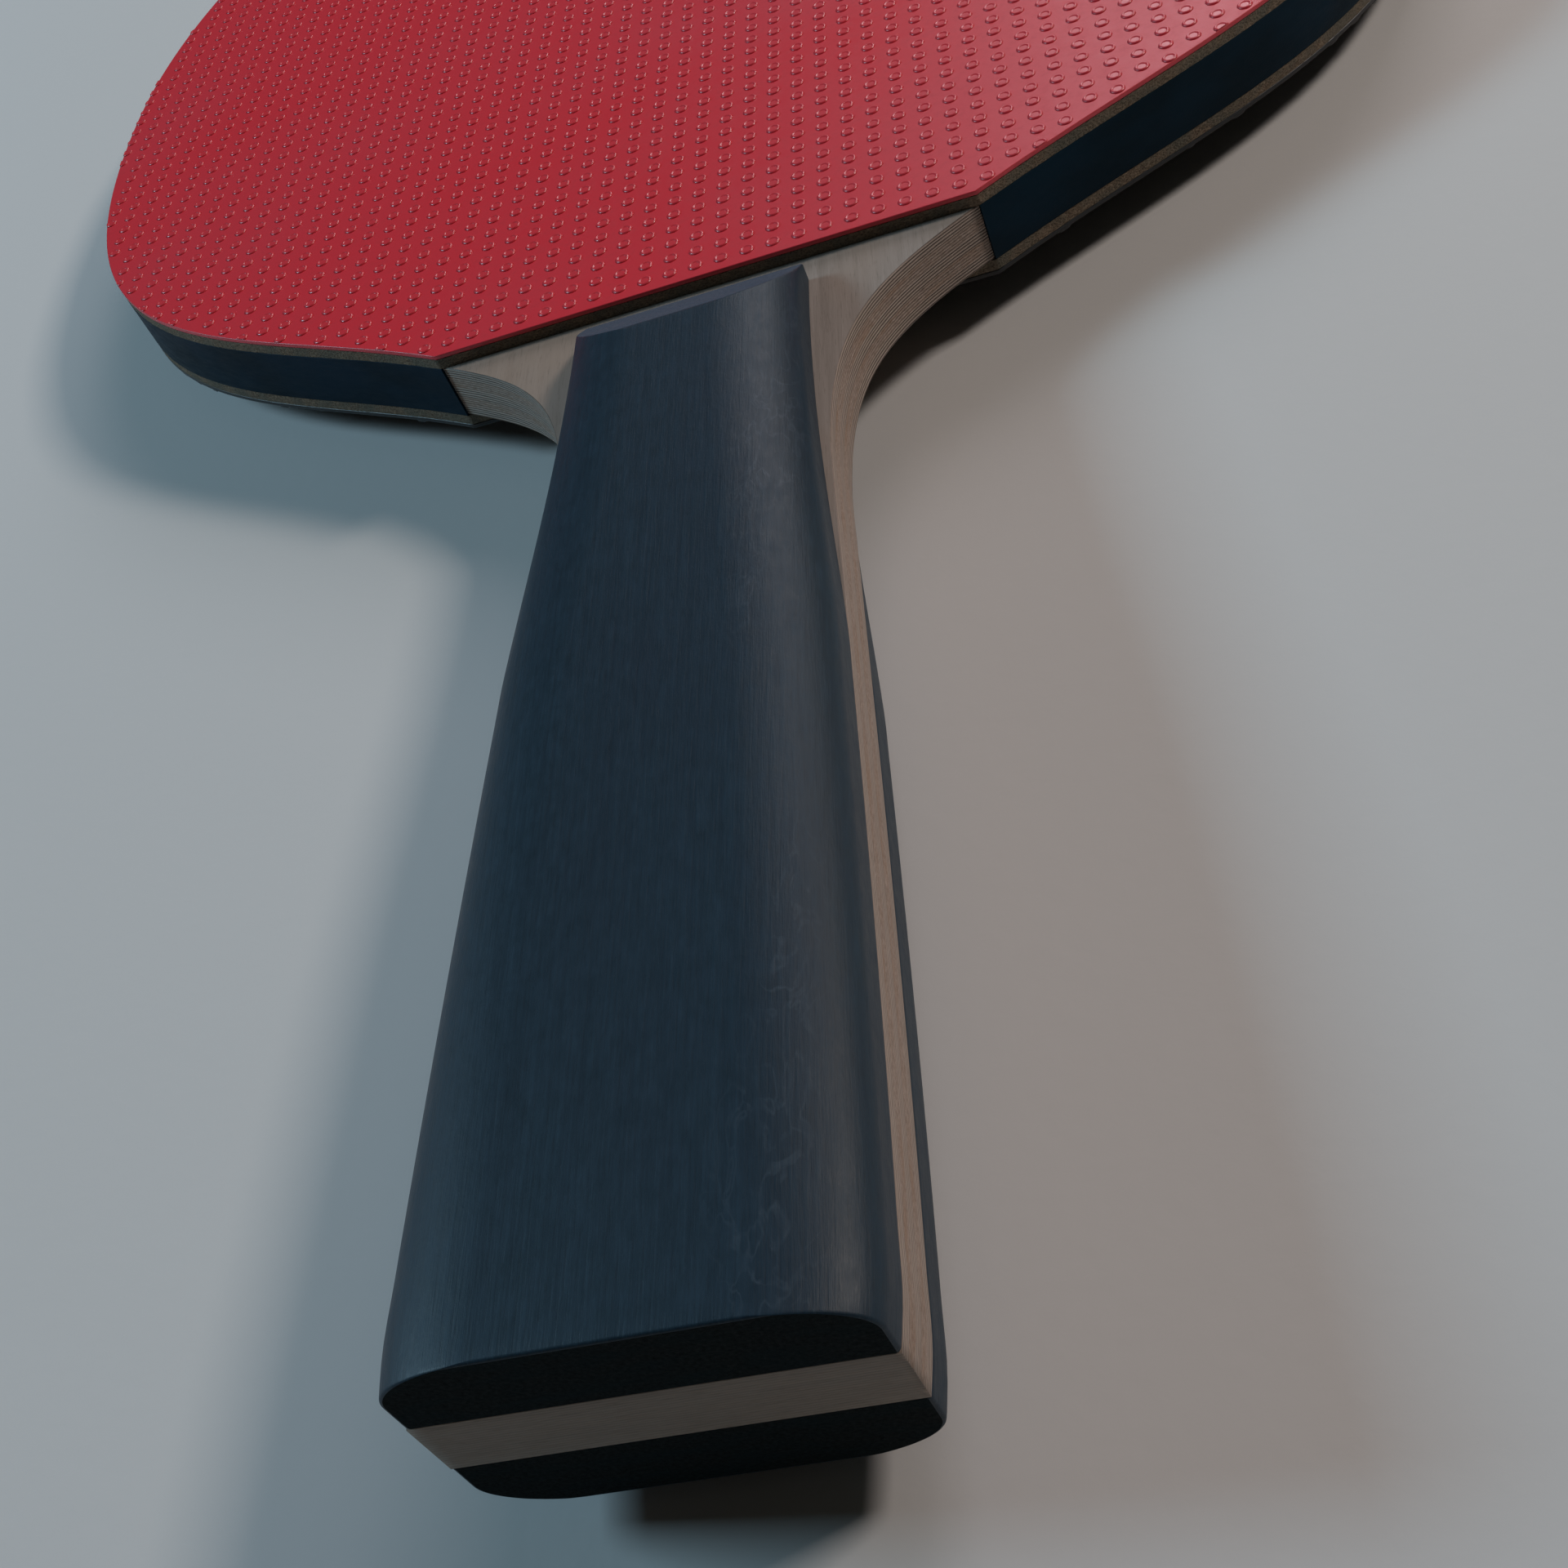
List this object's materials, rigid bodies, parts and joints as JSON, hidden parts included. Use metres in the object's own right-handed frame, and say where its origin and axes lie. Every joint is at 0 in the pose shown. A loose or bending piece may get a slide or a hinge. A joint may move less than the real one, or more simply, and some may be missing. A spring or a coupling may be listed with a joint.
{
  "type": "table tennis paddle",
  "caption": "Table tennis paddle with a plywood blade, pimpled red and black rubbers on sponge, an edge tape and a flared wooden handle.",
  "frame": {"origin": "under the middle of the paddle's bounding box, at the height of the back handle scale's crown", "axes": "+X across the paddle, to the right when the red face is seen with the head up; +Y from the butt of the handle to the tip of the head; +Z out of the red face"},
  "size_m": [0.151, 0.258, 0.0178],
  "materials": {
    "face_veneer": "pale greyish brown veneer with fine straight grain, satin lacquer",
    "cross_ply": "darker cross ply, end grain in fine lines",
    "core_wood": "bare core ply, fine straight grain",
    "edge_tape": "dark navy coated tape, low sheen",
    "sponge": "grey-brown open cell sponge, dull",
    "red_rubber": "red rubber with round pimples in a square grid, soft satin sheen",
    "black_rubber": "black rubber with round pimples in a square grid, soft satin sheen",
    "stained_wood": "wood stained dark navy blue, long fine grain, satin"
  },
  "bodies": {
    "root": {"front_veneer": "face_veneer", "front_cross_ply": "cross_ply", "core_ply": "core_wood", "back_cross_ply": "cross_ply", "back_veneer": "face_veneer", "edge_tape": "edge_tape", "front_sponge": "sponge", "front_rubber_sheet": "red_rubber", "back_sponge": "sponge", "back_rubber_sheet": "black_rubber", "front_handle_scale": "stained_wood", "back_handle_scale": "stained_wood"}
  },
  "joints": []
}
